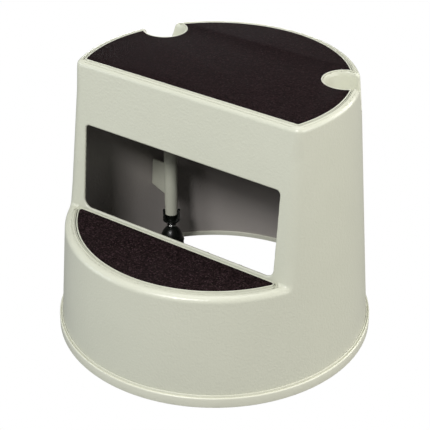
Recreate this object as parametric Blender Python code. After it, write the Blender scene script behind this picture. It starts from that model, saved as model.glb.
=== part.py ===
"""Rolling two-step stool: a moulded drum that stands on three spring-loaded casters.

Metres, +Z up. The origin is on the floor, under the middle of the drum. The step is on the -Y side.
Run it with: blender --background --python part.py
"""

from math import acos, asin, atan2, cos, hypot, pi, radians, sin, sqrt

import bmesh
import bpy
from mathutils import Matrix, Vector

# Driving dimensions of the drum
BASE_RADIUS = 0.208
TOP = 0.356
STEP = 0.1563
FLOOR_GAP = 0.006
WALL_FOOT_RADIUS = 0.2048
WALL_TAPER = 0.0759
FACE_TOP_OFFSET = 0.0669
FACE_LEAN = 0.1016
WALL = 0.004
DECK = 0.005
RIM_ROUND = 0.007
EDGE_ROUND = 0.008
CORNER_ROUND = 0.011
INNER_ROUND = 0.003
GAP = 0.0003

# Window in the front face
WINDOW_HALF_WIDTH = 0.1478
WINDOW_SILL = 0.1608
WINDOW_HEAD = 0.2747
WINDOW_SILL_ROUND = 0.011
WINDOW_HEAD_ROUND = 0.006
WINDOW_CUT_Y = (-0.130, -0.050)

# Hand-grip pockets in the top deck, over the rear casters
GRIP_CENTRE = 0.1594
GRIP_RADIUS = 0.0265
GRIP_DEPTH = 0.045
GRIP_FLOOR = 0.004
GRIP_SEGMENTS = 28

# Tread mats
MAT_THICKNESS = 0.0016
MAT_RECESS = 0.0015
MAT_SIDE_GAP = 0.0005
MAT_CORNER = 0.002
TOP_MAT_RADIUS = 0.1671
TOP_MAT_FRONT = 0.0565
TOP_MAT_CUTOUT = 0.0298
STEP_MAT_RADIUS = 0.1770
STEP_MAT_BACK = 0.0884
STEP_MAT_CORNER = 0.003

# Base ring
RING_BAND = 0.0108
RING_SHOULDER = 0.0166
RING_WEB = 0.0027
RING_LEG = 0.0024
RING_INNER_HEIGHT = 0.011
RING_CHAMFER = 0.0008

# Casters: heights above the floor, on the axis of each swivel stem
CASTER_CIRCLE = 0.1500
CASTER_ANGLES = {"front": -90.0, "rear_left": 150.0, "rear_right": 30.0}
SWIVEL_REST = radians(-54.0)
WHEEL_RADIUS = 0.0195
WHEEL_WIDTH = 0.0120
WHEEL_CROWN = 0.0016
WHEEL_RIM = 0.0145
WHEEL_HUB = 0.0055
WHEEL_DISH = 0.0020
TRAIL = 0.0100
AXLE_RADIUS = 0.0025
BORE_CLEARANCE = 0.0003
HOOD_RADIUS = 0.0225
HOOD_SKIN = 0.0021
HOOD_HALF_WIDTH = 0.0173
HOOD_WEB_HALF = 0.0043
HOOD_TOP = 0.0598
HOOD_DROP = 0.0035
HOOD_NECK = ((0.0120, 0.0280), (0.0115, 0.0410), (0.0088, 0.0530), (0.0062, 0.0598))
AXLE_BOSS_RADIUS = 0.0085
AXLE_BOSS_HALF = 0.0041
STEM_RADIUS = 0.0040
STEM_FOOT = 0.0438
STEM_TOP = 0.0860
WASHER_RADIUS = 0.0070
WASHER_THICKNESS = 0.0032
CARRIER_NECK = 0.0060
CARRIER_FLOOR = 0.0705
CARRIER_RADIUS = 0.0122
CARRIER_BAND = 0.0012
ARM_INNER = 0.0095
ARM_TOP = 0.0850
ARM_HALF_ANGLE = radians(30.0)
ARM_TURN = radians(66.0)
POST_RADIUS = 0.0066
POST_TOP = 0.0950
LUG_HEIGHT = 0.0030
LUG_HALF_WIDTH = 0.0020
LUG_BELOW_TIP = 0.0005
LUG_SLOT_PLAY = 0.0005
TRAVEL = 0.0090
TUBE_RADIUS = 0.0092
TUBE_BORE = 0.0070
TUBE_FOOT = 0.0798
CORE_BORE = 0.0060
SPRING_SEAT = 0.1310
SPRING_WIRE = 0.0008
SPRING_MEAN = 0.0054
SPRING_TURNS = 6.5

# Tower flange and its screws
FLANGE_THICKNESS = 0.0040
FLANGE_HALF_WIDTH = 0.0110
SCREW_SPACING = 0.0160
BOSS_RADIUS = 0.0045
BOSS_HEIGHT = 0.0117
BOSS_SINK = 0.0020
HOLE_DEPTH = 0.0110
SCREW_RADIUS = 0.0020
SCREW_HEAD_RADIUS = 0.0040
SCREW_HEAD = 0.0026
HOLE_RADIUS = 0.0023
FIN_THICKNESS = 0.0030
FIN_FOOT = 0.1040
FIN_TOP = 0.1560
FIN_SLOPE = 0.0060
FIN_WALL_GAP = 0.0010
FIN_SPREAD = radians(15.0)
FIN_START = 0.0078

# Stiffening ribs under the decks
RIB_THICKNESS = 0.0030
RIB_DEPTH = 0.0120
RIB_BITE = 0.0015
TOP_RIBS_Y = (-0.030, 0.000, 0.030, 0.128)
STEP_RIBS_X = (-0.100, -0.050, 0.050, 0.100)

# How far a cutting tool reaches past what it cuts
OVERCUT = 0.0100

# Mesh density
BACK_STEPS = 40
CORNER_STEPS = 3
CHORD_STEPS = 26
ROUND_STEPS = 3


def clear_scene():
    for obj in list(bpy.data.objects):
        bpy.data.objects.remove(obj)


def material(name, colour, roughness, metallic=0.0):
    made = bpy.data.materials.new(name)
    made.use_nodes = True
    shader = made.node_tree.nodes["Principled BSDF"]
    shader.inputs["Base Color"].default_value = (*colour, 1.0)
    shader.inputs["Roughness"].default_value = roughness
    shader.inputs["Metallic"].default_value = metallic
    return made


def add_object(name, mesh_data, finish=None, parent=None, smooth=35.0):
    mesh = bpy.data.meshes.new(name)
    bmesh.ops.recalc_face_normals(mesh_data, faces=mesh_data.faces)
    mesh_data.to_mesh(mesh)
    mesh_data.free()
    mesh.shade_smooth()
    mesh.set_sharp_from_angle(angle=radians(smooth))
    obj = bpy.data.objects.new(name, mesh)
    bpy.context.scene.collection.objects.link(obj)
    obj.parent = parent
    if finish:
        mesh.materials.append(finish)
    return obj


def add_helper(name, mesh_data, parent=None):
    helper = add_object(name, mesh_data, parent=parent)
    helper.hide_render = True
    helper.display_type = "WIRE"
    return helper


def add_empty(name, location, turn=0.0, parent=None):
    empty = bpy.data.objects.new(name, None)
    empty.location = location
    empty.rotation_euler.z = turn
    empty.parent = parent
    bpy.context.scene.collection.objects.link(empty)
    return empty


def boolean(obj, helper, operation):
    step = obj.modifiers.new(helper.name, "BOOLEAN")
    step.operation = operation
    step.solver = "EXACT"
    step.object = helper


# Mesh builders


def bridge(data, low, high):
    count = len(low)
    for i in range(count):
        j = (i + 1) % count
        data.faces.new((low[i], low[j], high[j], high[i]))


def loft_into(data, rings, capped=True):
    """Adds a skin through rings of equal length, closed at both ends."""
    loops = [[data.verts.new(point) for point in ring] for ring in rings]
    for low, high in zip(loops, loops[1:]):
        bridge(data, low, high)
    if capped:
        data.faces.new(loops[0])
        data.faces.new(loops[-1])
    return loops


def lofted(rings):
    data = bmesh.new()
    loft_into(data, rings)
    return data


def prism(outline, low, high):
    """A solid between two heights over a flat outline."""
    return lofted([[(x, y, z) for x, y in outline] for z in (low, high)])


def turned(profile, segments, centre=(0.0, 0.0)):
    """A solid of revolution about Z. The profile is (radius, height); radius 0 is a pole."""
    data = bmesh.new()
    turned_into(data, profile, segments, centre)
    return data


def turned_into(data, profile, segments, centre=(0.0, 0.0)):
    angles = [2 * pi * i / segments for i in range(segments)]
    loops = []
    for radius, height in profile:
        if radius == 0:
            loops.append([data.verts.new((*centre, height))])
            continue
        ring = [(centre[0] + radius * cos(a), centre[1] + radius * sin(a), height) for a in angles]
        loops.append([data.verts.new(point) for point in ring])
    open_profile = len(loops[0]) == 1 and len(loops[-1]) == 1
    pairs = list(zip(loops, loops[1:])) + ([] if open_profile else [(loops[-1], loops[0])])
    for low, high in pairs:
        if len(low) == 1:
            fan(data, low[0], high)
        elif len(high) == 1:
            fan(data, high[0], low)
        else:
            bridge(data, low, high)


def rod(radius, low, high):
    """The profile of a plain cylinder."""
    return [(0, low), (radius, low), (radius, high), (0, high)]


def fan(data, pole, ring):
    for i in range(len(ring)):
        data.faces.new((pole, ring[i], ring[(i + 1) % len(ring)]))


def arc(centre, radius, start, end, steps):
    """Points on an arc from start to end, both included."""
    angles = [start + (end - start) * i / steps for i in range(steps + 1)]
    return [(centre[0] + radius * cos(a), centre[1] + radius * sin(a)) for a in angles]


def slot_outline(half_length, radius, steps):
    """A rounded slot along Y."""
    far = arc((0.0, half_length), radius, 0.0, pi, steps)
    near = arc((0.0, -half_length), radius, pi, 2 * pi, steps)
    return far + near


# The drum


def wall_radius(height):
    return WALL_FOOT_RADIUS - WALL_TAPER * (height - FLOOR_GAP)


def face_offset(height):
    """How far the front face is in front of the axis."""
    return FACE_TOP_OFFSET + FACE_LEAN * (TOP - height)


def corner_centre(radius, chord, corner):
    """Middle of the fillet between a circle and a chord in front of it, on the +X side."""
    across = sqrt((radius - corner) ** 2 - (chord - corner) ** 2)
    return across, corner - chord


def segment_outline(radius, chord, corner, back_steps=BACK_STEPS, chord_steps=CHORD_STEPS):
    """A circle cut off by a straight front, with rounded corners, from the right corner round."""
    x, y = corner_centre(radius, chord, corner)
    tip = atan2(y, x)
    back = arc((0.0, 0.0), radius, tip, pi - tip, back_steps)
    left = arc((-x, y), corner, pi - tip, 1.5 * pi, CORNER_STEPS)[1:]
    right = arc((x, y), corner, -pi / 2, tip, CORNER_STEPS)[:-1]
    front = [(x * (2 * i / chord_steps - 1), -chord) for i in range(1, chord_steps)]
    return back + left + front + right


def circle_outline(radius, tip):
    """A full circle with as many points as segment_outline, which meets it behind the tips."""
    front_steps = 2 * CORNER_STEPS + CHORD_STEPS
    back = arc((0.0, 0.0), radius, tip, pi - tip, BACK_STEPS)
    front = arc((0.0, 0.0), radius, pi - tip, 2 * pi + tip, front_steps)[1:-1]
    return back + front


def segment_ring(height, inset):
    outline = segment_outline(wall_radius(height) - inset, face_offset(height) - inset, CORNER_ROUND - inset)
    return [(x, y, height) for x, y in outline]


def deck_edge_rings(deck, inset, rounding):
    """Rings of the lower drum's wall and of its rounded edge. Behind the tips the wall runs on."""
    radius = wall_radius(deck) - inset
    x, y = corner_centre(radius, face_offset(deck) - inset, CORNER_ROUND - inset)
    tip = atan2(y, x)
    deck_ring = segment_ring(deck, inset)
    start = deck - rounding
    rings = []
    for step in range(ROUND_STEPS + 1):
        turn = pi / 2 * step / ROUND_STEPS
        plain = start + rounding * step / (ROUND_STEPS + 1)
        circle = circle_outline(1.0, tip)
        ring = []
        for i, (cx, cy) in enumerate(circle):
            depth = hypot(cx * radius - deck_ring[i][0], cy * radius - deck_ring[i][1])
            share = min(1.0, depth / (2 * rounding))
            height = (1 - share) * plain + share * (start + rounding * sin(turn))
            reach = wall_radius(height) - inset - share * rounding * (1 - cos(turn))
            ring.append((cx * reach, cy * reach, height))
        rings.append(ring)
    return tip, rings


def rim_rings(top, inset, rounding):
    rings = []
    for step in range(ROUND_STEPS + 1):
        turn = pi / 2 * step / ROUND_STEPS
        height = top - rounding * (1 - sin(turn))
        pulled = segment_outline(
            wall_radius(top - rounding) - inset - rounding * (1 - cos(turn)),
            face_offset(top - rounding) - inset - rounding * (1 - cos(turn)),
            CORNER_ROUND - inset - rounding * (1 - cos(turn)) * 0.5,
        )
        rings.append([(x, y, height) for x, y in pulled])
    return rings


def drum_rings(foot, deck, top, inset, edge, rim):
    """Every ring of the drum's outer skin, or with an inset of its inner skin, from foot to top."""
    tip, edge_rings = deck_edge_rings(deck, inset, edge)
    radius = wall_radius(foot) - inset
    foot_ring = [(x, y, foot) for x, y in circle_outline(radius, tip)]
    return [foot_ring, *edge_rings, segment_ring(deck, inset), *rim_rings(top, inset, rim)]


def shell_mesh():
    foot = FLOOR_GAP + RING_WEB + GAP
    data = bmesh.new()
    outer = loft_into(data, drum_rings(foot, STEP, TOP, 0.0, EDGE_ROUND, RIM_ROUND), False)
    inner = loft_into(data, drum_rings(foot, STEP - DECK, TOP - DECK, WALL, INNER_ROUND, INNER_ROUND), False)
    data.faces.new(outer[-1])
    data.faces.new(inner[-1])
    bridge(data, outer[0], inner[0])
    return data


def window_cutter():
    """A rounded rectangle in the X-Z plane, drawn through the front face along Y."""
    right, left = WINDOW_HALF_WIDTH, -WINDOW_HALF_WIDTH
    low, high = WINDOW_SILL_ROUND, WINDOW_HEAD_ROUND
    outline = arc((right - low, WINDOW_SILL + low), low, -pi / 2, 0, 4)
    outline += arc((right - high, WINDOW_HEAD - high), high, 0, pi / 2, 4)
    outline += arc((left + high, WINDOW_HEAD - high), high, pi / 2, pi, 4)
    outline += arc((left + low, WINDOW_SILL + low), low, pi, 1.5 * pi, 4)
    return lofted([[(x, y, z) for x, z in outline] for y in WINDOW_CUT_Y])


def grip_places():
    angles = [radians(CASTER_ANGLES[name]) for name in ("rear_left", "rear_right")]
    return [(GRIP_CENTRE * cos(a), GRIP_CENTRE * sin(a)) for a in angles]


def grip_blocks():
    """The pocket walls and floors, which end halfway through the drum's wall."""
    data = bmesh.new()
    for x, y in grip_places():
        rings = []
        for height in (TOP - GRIP_DEPTH - GRIP_FLOOR, TOP - DECK / 2):
            limit = wall_radius(height) - WALL / 2
            ring = []
            for px, py in arc((x, y), GRIP_RADIUS + WALL, 0, 2 * pi, GRIP_SEGMENTS)[:-1]:
                pull = min(1.0, limit / hypot(px, py))
                ring.append((px * pull, py * pull, height))
            rings.append(ring)
        loft_into(data, rings)
    return data


def grip_cutters():
    data = bmesh.new()
    for place in grip_places():
        low, high = TOP - GRIP_DEPTH, TOP + OVERCUT
        turned_into(data, rod(GRIP_RADIUS, low, high), GRIP_SEGMENTS, place)
    return data


def boss_places():
    """(x, y, height of the boss's foot) of each tower screw."""
    places = []
    for name, angle in CASTER_ANGLES.items():
        a = radians(angle)
        for side in (-SCREW_SPACING, SCREW_SPACING):
            x = CASTER_CIRCLE * cos(a) - side * sin(a)
            y = CASTER_CIRCLE * sin(a) + side * cos(a)
            places.append((x, y, tower_top(name) + GAP))
    return places


def tower_top(name):
    under = STEP - DECK if name == "front" else TOP - GRIP_DEPTH - GRIP_FLOOR
    return under - BOSS_HEIGHT - GAP


def boss_mesh():
    data = bmesh.new()
    for x, y, low in boss_places():
        turned_into(data, rod(BOSS_RADIUS, low, low + BOSS_HEIGHT + BOSS_SINK), 12, (x, y))
    return data


def boss_holes():
    data = bmesh.new()
    for x, y, low in boss_places():
        turned_into(data, rod(HOLE_RADIUS, low - BOSS_SINK, low + HOLE_DEPTH), 10, (x, y))
    return data


def box_into(data, low, high):
    corners = [(low[0], low[1]), (high[0], low[1]), (high[0], high[1]), (low[0], high[1])]
    loft_into(data, [[(x, y, z) for x, y in corners] for z in (low[2], high[2])])


def rib_mesh():
    """Stiffening ribs: across under the top deck, and fore and aft under the step."""
    data = bmesh.new()
    half, inset = RIB_THICKNESS / 2, WALL - RIB_BITE
    for y in TOP_RIBS_Y:
        reach = sqrt((wall_radius(TOP) - inset) ** 2 - y**2)
        under = TOP - DECK
        box_into(data, (-reach, y - half, under - RIB_DEPTH), (reach, y + half, under + RIB_BITE))
    for x in STEP_RIBS_X:
        front = -sqrt((wall_radius(STEP) - inset) ** 2 - x**2)
        back = WALL - face_offset(STEP)
        under = STEP - DECK
        box_into(data, (x - half, front, under - RIB_DEPTH), (x + half, back, under + RIB_BITE))
    return data


def tread_outline(radius, chord, corner, cutout=None):
    """A mat's outline. With a cutout, an arc of that radius is taken out around each grip."""
    if not cutout:
        return segment_outline(radius, chord, corner, 26, 1)
    x, y = corner_centre(radius, chord, corner)
    tip = atan2(y, x)
    half = acos((radius**2 + GRIP_CENTRE**2 - cutout**2) / (2 * radius * GRIP_CENTRE))
    (left_x, left_y), (right_x, right_y) = grip_places()
    right_angle, left_angle = atan2(right_y, right_x), atan2(left_y, left_x)
    swing = acos((radius * cos(half) - GRIP_CENTRE) / cutout)
    outline = arc((0, 0), radius, tip, right_angle - half, 6)
    outline += arc((right_x, right_y), cutout, right_angle - swing, right_angle - 2 * pi + swing, 16)[1:-1]
    outline += arc((0, 0), radius, right_angle + half, left_angle - half, 18)
    outline += arc((left_x, left_y), cutout, left_angle - swing, left_angle - 2 * pi + swing, 16)[1:-1]
    outline += arc((0, 0), radius, left_angle + half, pi - tip, 6)
    outline += arc((-x, y), corner, pi - tip, 1.5 * pi, CORNER_STEPS)[1:]
    outline += arc((x, y), corner, -pi / 2, tip, CORNER_STEPS)[:-1]
    return outline


def top_mat_outline(grow=0.0):
    cutout = TOP_MAT_CUTOUT - grow
    return tread_outline(TOP_MAT_RADIUS + grow, TOP_MAT_FRONT + grow, MAT_CORNER + grow, cutout)


def step_mat_outline(grow=0.0):
    """The step mat is the slice of its circle in front of its straight back edge."""
    radius, back = STEP_MAT_RADIUS + grow, STEP_MAT_BACK - grow
    corner = STEP_MAT_CORNER + grow
    x = sqrt((radius - corner) ** 2 - (back + corner) ** 2)
    tip = atan2(-(back + corner), x)
    outline = arc((x, -(back + corner)), corner, tip, pi / 2, 4)
    outline += arc((-x, -(back + corner)), corner, pi / 2, pi - tip, 4)
    outline += arc((0, 0), radius, pi - tip, 2 * pi + tip, 26)[1:-1]
    return outline


def make_shell(finish):
    shell = add_object("body_shell", shell_mesh(), finish)
    boolean(shell, add_helper("grip_block_helper", grip_blocks()), "UNION")
    boolean(shell, add_helper("boss_helper", boss_mesh()), "UNION")
    boolean(shell, add_helper("rib_helper", rib_mesh()), "UNION")
    top_recess = prism(top_mat_outline(MAT_SIDE_GAP), TOP - MAT_RECESS, TOP + MAT_RECESS)
    step_recess = prism(step_mat_outline(MAT_SIDE_GAP), STEP - MAT_RECESS, STEP + MAT_RECESS)
    boolean(shell, add_helper("top_recess_cutter", top_recess), "DIFFERENCE")
    boolean(shell, add_helper("step_recess_cutter", step_recess), "DIFFERENCE")
    boolean(shell, add_helper("window_cutter", window_cutter()), "DIFFERENCE")
    boolean(shell, add_helper("grip_cutter", grip_cutters()), "DIFFERENCE")
    boolean(shell, add_helper("boss_hole_cutter", boss_holes()), "DIFFERENCE")
    return shell


def make_mats(finish):
    for name, outline, deck in (
        ("top_tread_mat", top_mat_outline(), TOP),
        ("step_tread_mat", step_mat_outline(), STEP),
    ):
        low = deck - MAT_RECESS + GAP
        add_object(name, prism(outline, low, low + MAT_THICKNESS), finish)


def make_base_ring(finish):
    """A channel pushed over the wall's foot: its bottom web is what grips the floor."""
    foot, band = FLOOR_GAP, FLOOR_GAP + RING_BAND
    shoulder = FLOOR_GAP + RING_SHOULDER
    shoulder_rise = (shoulder - band) * 0.55
    lip = wall_radius(shoulder) + GAP
    seat = foot + RING_WEB
    inner = wall_radius(seat) - WALL - GAP
    leg_top = foot + RING_INNER_HEIGHT
    profile = [
        (inner - RING_LEG, foot),
        (BASE_RADIUS - RING_CHAMFER, foot),
        (BASE_RADIUS, foot + RING_CHAMFER),
        (BASE_RADIUS, band),
        (BASE_RADIUS - 0.4 * shoulder_rise, band + shoulder_rise),
        (lip + 2 * GAP, shoulder),
        (lip, shoulder),
        (wall_radius(seat) + GAP, seat),
        (inner, seat),
        (wall_radius(leg_top) - WALL - GAP, leg_top),
        (inner - RING_LEG, leg_top),
    ]
    add_object("base_ring", turned(profile, 72), finish)


# Casters. Each is built about its own stem axis, with its outward direction along +X.


def tower_mesh(name):
    top = tower_top(name)
    profile = [(TUBE_BORE, TUBE_FOOT), (TUBE_RADIUS, TUBE_FOOT), (TUBE_RADIUS, top - GAP)]
    if name == "front":
        profile += [(0, top - GAP)]
    else:
        core_foot = SPRING_SEAT + FLANGE_THICKNESS
        profile += [(CORE_BORE, top - GAP), (CORE_BORE, core_foot), (0, core_foot)]
    profile = [(0, SPRING_SEAT), (TUBE_BORE, SPRING_SEAT), *profile]
    return turned(profile, 24)


def fin_mesh():
    """Two upright gussets in a V, from the tube out to the drum's wall."""
    data = bmesh.new()
    for turn in (-FIN_SPREAD, FIN_SPREAD):
        along = Vector((cos(turn), sin(turn), 0.0))
        across = Vector((-sin(turn), cos(turn), 0.0)) * FIN_THICKNESS / 2
        edge = [(FIN_START, FIN_FOOT), (FIN_START, FIN_TOP)]
        for height in (FIN_TOP - FIN_SLOPE, FIN_FOOT + FIN_SLOPE):
            limit = wall_radius(height) - WALL - FIN_WALL_GAP
            offset = CASTER_CIRCLE * cos(turn)
            edge.append((sqrt(limit**2 - CASTER_CIRCLE**2 + offset**2) - offset, height))
        rings = []
        for side in (-1, 1):
            rings.append([along * reach + across * side + Vector((0, 0, z)) for reach, z in edge])
        loft_into(data, rings)
    return data


def flange_holes(top):
    data = bmesh.new()
    for y in (-SCREW_SPACING, SCREW_SPACING):
        turned_into(data, rod(HOLE_RADIUS, top - OVERCUT, top + OVERCUT), 10, (0, y))
    return data


def flange_mesh(top):
    outline = slot_outline(SCREW_SPACING, FLANGE_HALF_WIDTH, 10)
    return prism(outline, top - FLANGE_THICKNESS, top)


def lug_foot():
    return ARM_TOP - LUG_BELOW_TIP - LUG_HEIGHT


def lug_slots():
    """The slots in which the carrier's lugs slide, cut right across the tube."""
    low = lug_foot() - GAP
    high = lug_foot() + LUG_HEIGHT + TRAVEL + LUG_SLOT_PLAY
    half, reach = LUG_HALF_WIDTH + LUG_SLOT_PLAY, CARRIER_RADIUS
    data = bmesh.new()
    box_into(data, (-half, -reach, low), (half, reach, high))
    bmesh.ops.rotate(data, verts=data.verts, matrix=Matrix.Rotation(ARM_TURN - pi / 2, 3, "Z"))
    return data


def make_tower(name, place, finish):
    top = tower_top(name)
    tower = add_object(f"{name}_tower", tower_mesh(name), finish, place)
    boolean(tower, add_helper(f"{name}_flange_helper", flange_mesh(top), place), "UNION")
    if name != "front":
        boolean(tower, add_helper(f"{name}_fin_helper", fin_mesh(), place), "UNION")
        bore = turned(rod(CORE_BORE, top - OVERCUT, top + OVERCUT), 24)
        boolean(tower, add_helper(f"{name}_core_cutter", bore, place), "DIFFERENCE")
    boolean(tower, add_helper(f"{name}_flange_hole_cutter", flange_holes(top), place), "DIFFERENCE")
    boolean(tower, add_helper(f"{name}_slot_cutter", lug_slots(), place), "DIFFERENCE")


def make_tower_screws(name, place, finish):
    """Pan-head screws from below, through the flange into the shell's bosses."""
    under = tower_top(name) - FLANGE_THICKNESS - GAP
    end = tower_top(name) + HOLE_DEPTH - GAP
    profile = [
        (0, under - SCREW_HEAD),
        (SCREW_HEAD_RADIUS * 0.7, under - SCREW_HEAD),
        (SCREW_HEAD_RADIUS, under - SCREW_HEAD * 0.6),
        (SCREW_HEAD_RADIUS, under),
        (SCREW_RADIUS, under),
        (SCREW_RADIUS, end - 0.002),
        (0, end),
    ]
    for tag, y in (("a", -SCREW_SPACING), ("b", SCREW_SPACING)):
        screw = add_object(f"{name}_tower_screw_{tag}", turned(profile, 10), finish, place)
        screw.location.y = y


def make_spring(name, place, finish):
    """A round-wire coil between the carrier's post and the tube's blind end."""
    low, high = POST_TOP + GAP + SPRING_WIRE, SPRING_SEAT - GAP - SPRING_WIRE
    per_turn, sides = 10, 4
    count = int(SPRING_TURNS * per_turn)
    rings = []
    for i in range(count + 1):
        angle = 2 * pi * i / per_turn
        outward = Vector((cos(angle), sin(angle), 0.0))
        centre = outward * SPRING_MEAN + Vector((0.0, 0.0, low + (high - low) * i / count))
        corners = [2 * pi * k / sides + pi / 4 for k in range(sides)]
        rings.append([centre + SPRING_WIRE * (outward * cos(c) + Vector((0, 0, sin(c)))) for c in corners])
    add_object(f"{name}_spring", lofted(rings), finish, place)


def arm_mesh():
    """The two arms that rise beside the tube."""
    data = bmesh.new()
    half = ARM_HALF_ANGLE
    outline = arc((0, 0), CARRIER_RADIUS, -half, half, 6) + arc((0, 0), ARM_INNER, half, -half, 6)
    foot = CARRIER_FLOOR - CARRIER_BAND
    for turn in (ARM_TURN, ARM_TURN + pi):
        spin = Matrix.Rotation(turn, 2)
        ring = [spin @ Vector(point) for point in outline]
        loft_into(data, [[(p.x, p.y, z) for p in ring] for z in (foot, ARM_TOP)])
    return data


def lug_mesh():
    """A lug inside the tip of each arm."""
    data = bmesh.new()
    inner, outer, half = TUBE_BORE + GAP, (ARM_INNER + CARRIER_RADIUS) / 2, LUG_HALF_WIDTH
    for turn in (ARM_TURN, ARM_TURN + pi):
        spin = Matrix.Rotation(turn, 2)
        corners = [Vector(p) for p in ((inner, -half), (outer, -half), (outer, half), (inner, half))]
        ring = [spin @ corner for corner in corners]
        loft_into(data, [[(p.x, p.y, z) for p in ring] for z in (lug_foot(), lug_foot() + LUG_HEIGHT)])
    return data


def make_carrier(name, place, finish):
    """The black plunger: a cup with a post that fills the tube's bore and a hole for the stem."""
    foot = HOOD_TOP + GAP + WASHER_THICKNESS + GAP
    hole = STEM_RADIUS + BORE_CLEARANCE
    profile = [
        (0, STEM_TOP + GAP),
        (hole, STEM_TOP + GAP),
        (hole, foot),
        (CARRIER_NECK, foot),
        (CARRIER_NECK, foot + CARRIER_BAND),
        (CARRIER_RADIUS, CARRIER_FLOOR - CARRIER_BAND),
        (CARRIER_RADIUS, CARRIER_FLOOR),
        (POST_RADIUS, CARRIER_FLOOR),
        (POST_RADIUS, POST_TOP),
        (0, POST_TOP),
    ]
    carrier = add_object(f"{name}_carrier", turned(profile, 24), finish, place)
    boolean(carrier, add_helper(f"{name}_arm_helper", arm_mesh(), place), "UNION")
    boolean(carrier, add_helper(f"{name}_lug_helper", lug_mesh(), place), "UNION")


def make_stem(name, place, finish):
    radius, chamfer = STEM_RADIUS, 0.0006
    profile = [
        (0, STEM_FOOT),
        (radius - chamfer, STEM_FOOT),
        (radius, STEM_FOOT + chamfer),
        (radius, STEM_TOP - chamfer),
        (radius - chamfer, STEM_TOP),
        (0, STEM_TOP),
    ]
    add_object(f"{name}_stem", turned(profile, 14), finish, place)


def make_washer(name, place, finish):
    low, high = HOOD_TOP + GAP, HOOD_TOP + GAP + WASHER_THICKNESS
    bore, chamfer = STEM_RADIUS + BORE_CLEARANCE, 0.0007
    profile = [
        (bore, low),
        (WASHER_RADIUS - chamfer, low),
        (WASHER_RADIUS, low + chamfer),
        (WASHER_RADIUS, high - chamfer),
        (WASHER_RADIUS - chamfer, high),
        (bore, high),
    ]
    add_object(f"{name}_bearing_washer", turned(profile, 18), finish, place)


def lay_across(data):
    """Turns a solid of revolution from Z to the axle's direction, +Y, and lifts it to the axle."""
    bmesh.ops.rotate(data, verts=data.verts, matrix=Matrix.Rotation(-pi / 2, 3, "X"))
    bmesh.ops.translate(data, verts=data.verts, vec=(TRAIL, 0.0, WHEEL_RADIUS))
    return data


def hood_block():
    """The hood's outside: a thick half round over the wheels, still solid."""
    start = -asin(HOOD_DROP / HOOD_RADIUS)
    outline = arc((TRAIL, WHEEL_RADIUS), HOOD_RADIUS, start, pi - start, 16)
    half = HOOD_HALF_WIDTH
    return lofted([[(x, y, z) for x, z in outline] for y in (-half, half)])


def wheel_bays():
    data = bmesh.new()
    radius = HOOD_RADIUS - HOOD_SKIN
    outline = arc((TRAIL, WHEEL_RADIUS), radius, 0.0, 2 * pi, 28)[:-1]
    reach = HOOD_HALF_WIDTH + OVERCUT
    for low, high in ((HOOD_WEB_HALF, reach), (-reach, -HOOD_WEB_HALF)):
        loft_into(data, [[(x, y, z) for x, z in outline] for y in (low, high)])
    return data


def make_hood(name, pivot, finish):
    hood = add_object(f"{name}_hood", hood_block(), finish, pivot)
    neck = [(0, HOOD_NECK[0][1]), *HOOD_NECK, (0, HOOD_TOP)]
    boolean(hood, add_helper(f"{name}_neck_helper", turned(neck, 20), pivot), "UNION")
    boss = lay_across(turned(rod(AXLE_BOSS_RADIUS, -AXLE_BOSS_HALF, AXLE_BOSS_HALF), 20))
    boolean(hood, add_helper(f"{name}_wheel_bay_cutter", wheel_bays(), pivot), "DIFFERENCE")
    boolean(hood, add_helper(f"{name}_axle_boss_helper", boss, pivot), "UNION")
    stem_hole = turned(rod(STEM_RADIUS + BORE_CLEARANCE, STEM_FOOT - GAP, HOOD_TOP + OVERCUT), 14)
    boolean(hood, add_helper(f"{name}_stem_hole_cutter", stem_hole, pivot), "DIFFERENCE")
    axle_hole = lay_across(turned(rod(AXLE_RADIUS + BORE_CLEARANCE, -OVERCUT, OVERCUT), 12))
    boolean(hood, add_helper(f"{name}_axle_hole_cutter", axle_hole, pivot), "DIFFERENCE")


def make_axle(name, pivot, finish):
    end, chamfer = HOOD_WEB_HALF + WHEEL_WIDTH - 0.0005, 0.0004
    profile = [
        (0, -end),
        (AXLE_RADIUS - chamfer, -end),
        (AXLE_RADIUS, -end + chamfer),
        (AXLE_RADIUS, end - chamfer),
        (AXLE_RADIUS - chamfer, end),
        (0, end),
    ]
    add_object(f"{name}_axle", lay_across(turned(profile, 12)), finish, pivot)


def make_wheels(name, pivot, finish):
    """Two wheels with a rounded tread and a dished face, one on each side of the hood's web."""
    near, far = HOOD_WEB_HALF + GAP, HOOD_WEB_HALF + GAP + WHEEL_WIDTH
    bore, crown = AXLE_RADIUS + BORE_CLEARANCE, WHEEL_CROWN
    profile = [
        (bore, near),
        (WHEEL_RADIUS - crown, near),
        (WHEEL_RADIUS, near + crown),
        (WHEEL_RADIUS, far - crown),
        (WHEEL_RADIUS - crown, far),
        (WHEEL_RIM, far),
        (WHEEL_RIM - WHEEL_DISH / 2, far - WHEEL_DISH),
        (WHEEL_HUB + WHEEL_DISH / 4, far - WHEEL_DISH),
        (WHEEL_HUB, far),
        (bore, far),
    ]
    for tag, side in (("wheel_a", 1), ("wheel_b", -1)):
        data = turned([(radius, side * reach) for radius, reach in profile], 24)
        add_object(f"{name}_{tag}", lay_across(data), finish, pivot)


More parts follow.
